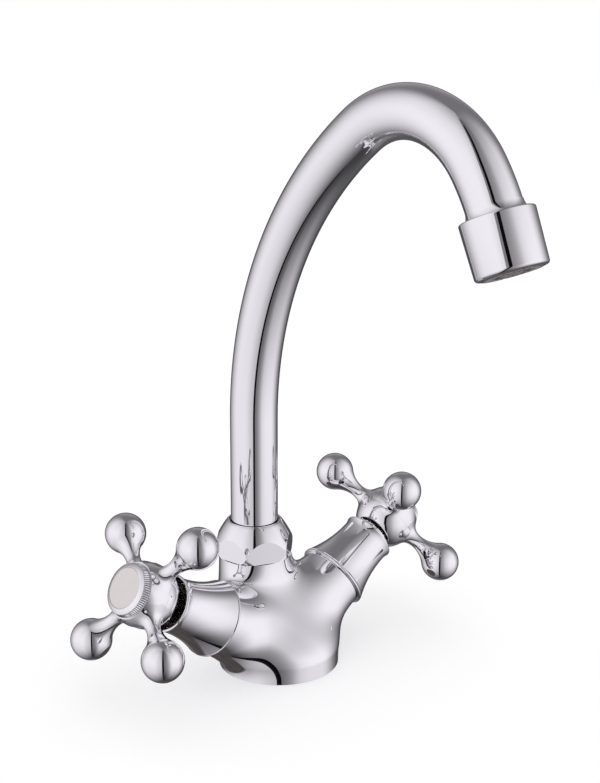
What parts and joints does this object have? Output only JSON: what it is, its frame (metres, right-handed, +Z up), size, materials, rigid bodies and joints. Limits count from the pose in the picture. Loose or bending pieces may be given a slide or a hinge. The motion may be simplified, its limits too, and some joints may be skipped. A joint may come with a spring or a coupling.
{
  "type": "mixer tap",
  "caption": "Chrome deck mixer tap with a tall arched swivel spout, tilted valve arms and ball-ended cross handles.",
  "frame": {"origin": "centre of the round base, on the surface that the tap stands on", "axes": "+Z up along the base's axis, -Y the way the spout points at rest, -X the hot side, +X the cold side"},
  "size_m": [0.1742, 0.1661, 0.2422],
  "materials": {
    "polished_chrome": "bright chrome plate on cast and drawn brass",
    "turned_brass": "plain turned",
    "black_rubber": "moulded",
    "white_acetal": "moulded",
    "grey_plastic": "moulded",
    "steel_gauze": "woven",
    "spring_steel": "plain",
    "ceramic_disc": "lapped",
    "cream_badge": "satin"
  },
  "bodies": {
    "tap_body": {"body_casting": "polished_chrome", "base_gasket": "black_rubber", "spout_nut": "polished_chrome", "slide_ring": "white_acetal", "friction_ring": "white_acetal", "hot_seat_seal": "black_rubber", "hot_fixed_disc": "ceramic_disc", "hot_headwork": "turned_brass", "hot_bonnet_seal": "black_rubber", "hot_sleeve": "polished_chrome", "cold_seat_seal": "black_rubber", "cold_fixed_disc": "ceramic_disc", "cold_headwork": "turned_brass", "cold_bonnet_seal": "black_rubber", "cold_sleeve": "polished_chrome"},
    "spout": {"spout_tail": "turned_brass", "spout_tail_seals": "black_rubber", "spout_tube": "polished_chrome", "outlet_fitting": "polished_chrome", "aerator_housing": "polished_chrome", "aerator_washer": "black_rubber", "aerator_insert": "grey_plastic", "aerator_screen": "steel_gauze"},
    "hot_handle": {"hot_moving_disc": "ceramic_disc", "hot_spindle": "turned_brass", "hot_spindle_seals": "black_rubber", "hot_circlip": "spring_steel", "hot_cross_handle": "polished_chrome", "hot_handle_screw": "spring_steel", "hot_cap_ring": "polished_chrome", "hot_cap_badge": "cream_badge"},
    "cold_handle": {"cold_moving_disc": "ceramic_disc", "cold_spindle": "turned_brass", "cold_spindle_seals": "black_rubber", "cold_circlip": "spring_steel", "cold_cross_handle": "polished_chrome", "cold_handle_screw": "spring_steel", "cold_cap_ring": "polished_chrome", "cold_cap_badge": "cream_badge"}
  },
  "joints": [
    {"name": "spout_swivel", "type": "hinge", "parent": "tap_body", "child": "spout", "pos_m": [0, 0.016, 0.05], "axis": [0, 0, 1], "continuous": true},
    {"name": "hot_handle_turn", "type": "hinge", "parent": "tap_body", "child": "hot_handle", "pos_m": [-0.05159, 0.0033, 0.03803], "axis": [-0.8599, 0, 0.5105], "range_deg": [0, 90]},
    {"name": "cold_handle_turn", "type": "hinge", "parent": "tap_body", "child": "cold_handle", "pos_m": [0.05159, 0.0033, 0.03803], "axis": [0.8599, 0, 0.5105], "range_deg": [0, 90]}
  ]
}
